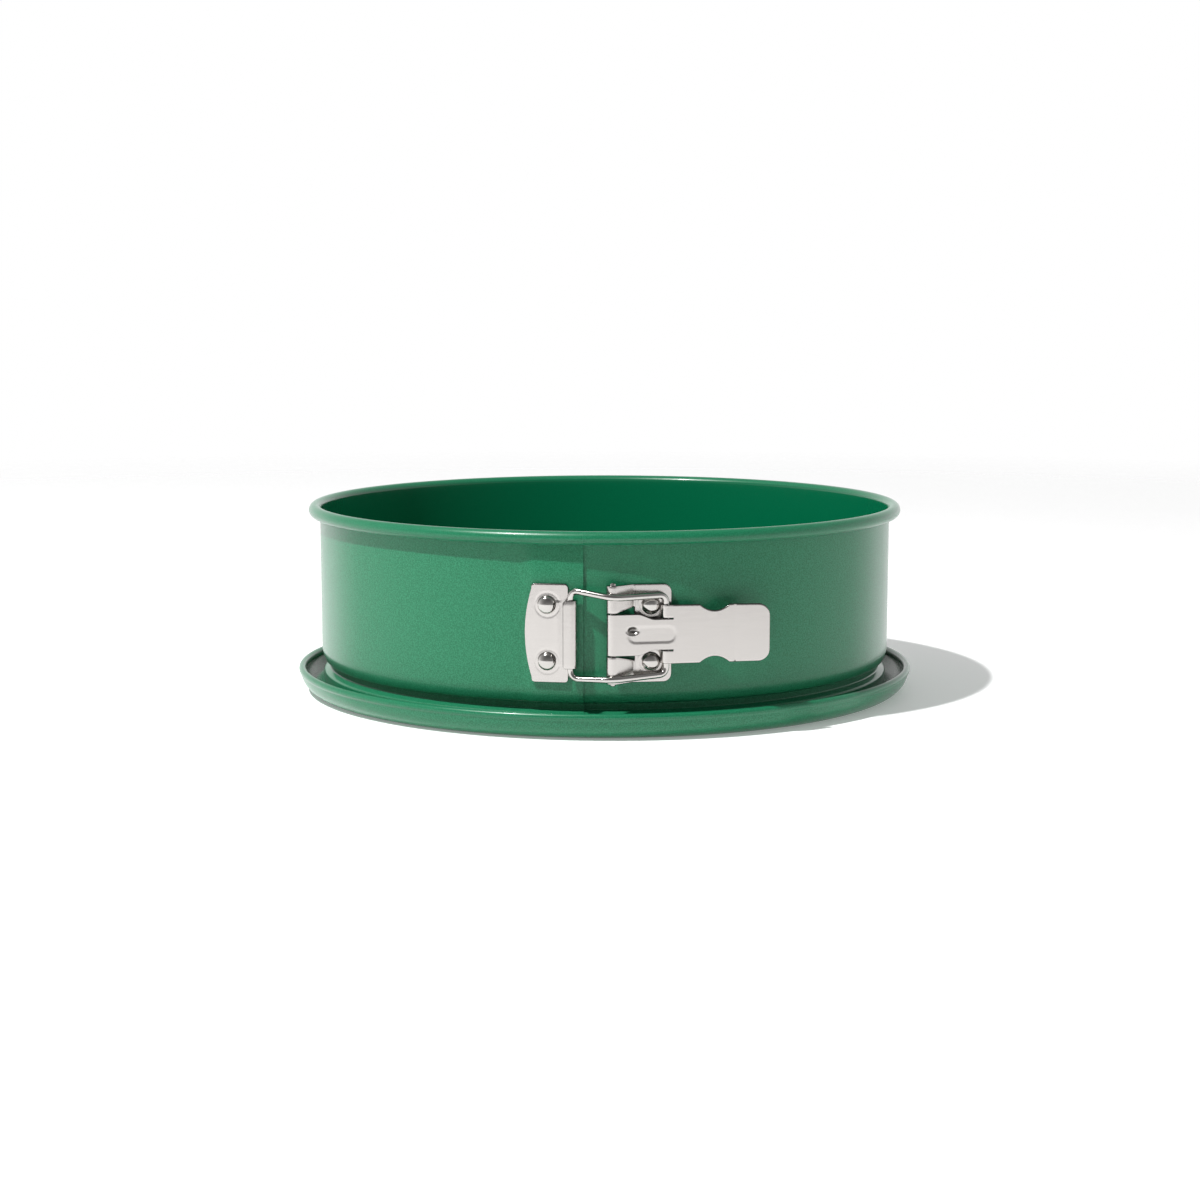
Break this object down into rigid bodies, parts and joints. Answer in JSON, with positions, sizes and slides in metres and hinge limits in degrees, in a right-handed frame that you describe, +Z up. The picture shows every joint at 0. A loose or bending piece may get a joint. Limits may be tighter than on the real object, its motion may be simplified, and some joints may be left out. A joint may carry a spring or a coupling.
{
  "type": "springform cake pan",
  "caption": "Round springform cake pan: a sprung ring with a rolled rim stands on a drip-tray base and closes with an over-centre wire latch.",
  "frame": {"origin": "on the pan's axis, at the level of the surface that the base stands on", "axes": "+Z up along the pan's axis; -Y towards the latch; +X towards the lever's free end"},
  "size_m": [0.2172, 0.2172, 0.0658],
  "materials": {
    "green_enamel": "satin green non-stick coating, finely speckled, glossier inside",
    "satin_steel": "bright satin plated sheet steel",
    "bright_steel": "smooth bright plated steel wire and rivets"
  },
  "bodies": {
    "base": {"base_plate": "green_enamel"},
    "ring_back": {"band_back": "green_enamel"},
    "ring_left": {"band_left": "green_enamel", "catch_bracket": "satin_steel", "catch_rivet_upper": "bright_steel", "catch_rivet_lower": "bright_steel"},
    "ring_right": {"band_right": "green_enamel", "lever_bracket": "satin_steel", "hinge_pin": "bright_steel", "bracket_rivet_upper": "bright_steel", "bracket_rivet_lower": "bright_steel"},
    "lever": {"lever": "satin_steel"},
    "bail": {"bail": "bright_steel"}
  },
  "joints": [
    {"name": "ring_lift", "type": "slide", "parent": "base", "child": "ring_back", "axis": [0, 0, 1], "range_m": [0, 0.08]},
    {"name": "band_left_flex", "type": "hinge", "parent": "ring_back", "child": "ring_left", "pos_m": [-0.05008, 0.08673, 0.0335], "axis": [0, 0, -1], "range_deg": [0, 1.3]},
    {"name": "band_right_flex", "type": "hinge", "parent": "ring_back", "child": "ring_right", "pos_m": [0.05008, 0.08673, 0.0335], "axis": [0, 0, 1], "range_deg": [0, 1.3]},
    {"name": "lever_swing", "type": "hinge", "parent": "ring_right", "child": "lever", "pos_m": [0.0024, -0.1042, 0.0335], "axis": [0, 0, -1], "range_deg": [0, 95]},
    {"name": "bail_swing", "type": "hinge", "parent": "ring_left", "child": "bail", "pos_m": [-0.0109, -0.10311, 0.0335], "axis": [0, 0, -1], "range_deg": [0, 39.4]}
  ],
  "couplings": [
    {"joint": "band_left_flex", "follows": "lever_swing", "ratio": 0.013627},
    {"joint": "band_right_flex", "follows": "lever_swing", "ratio": 0.013627},
    {"joint": "bail_swing", "follows": "lever_swing", "ratio": 0.41463}
  ]
}
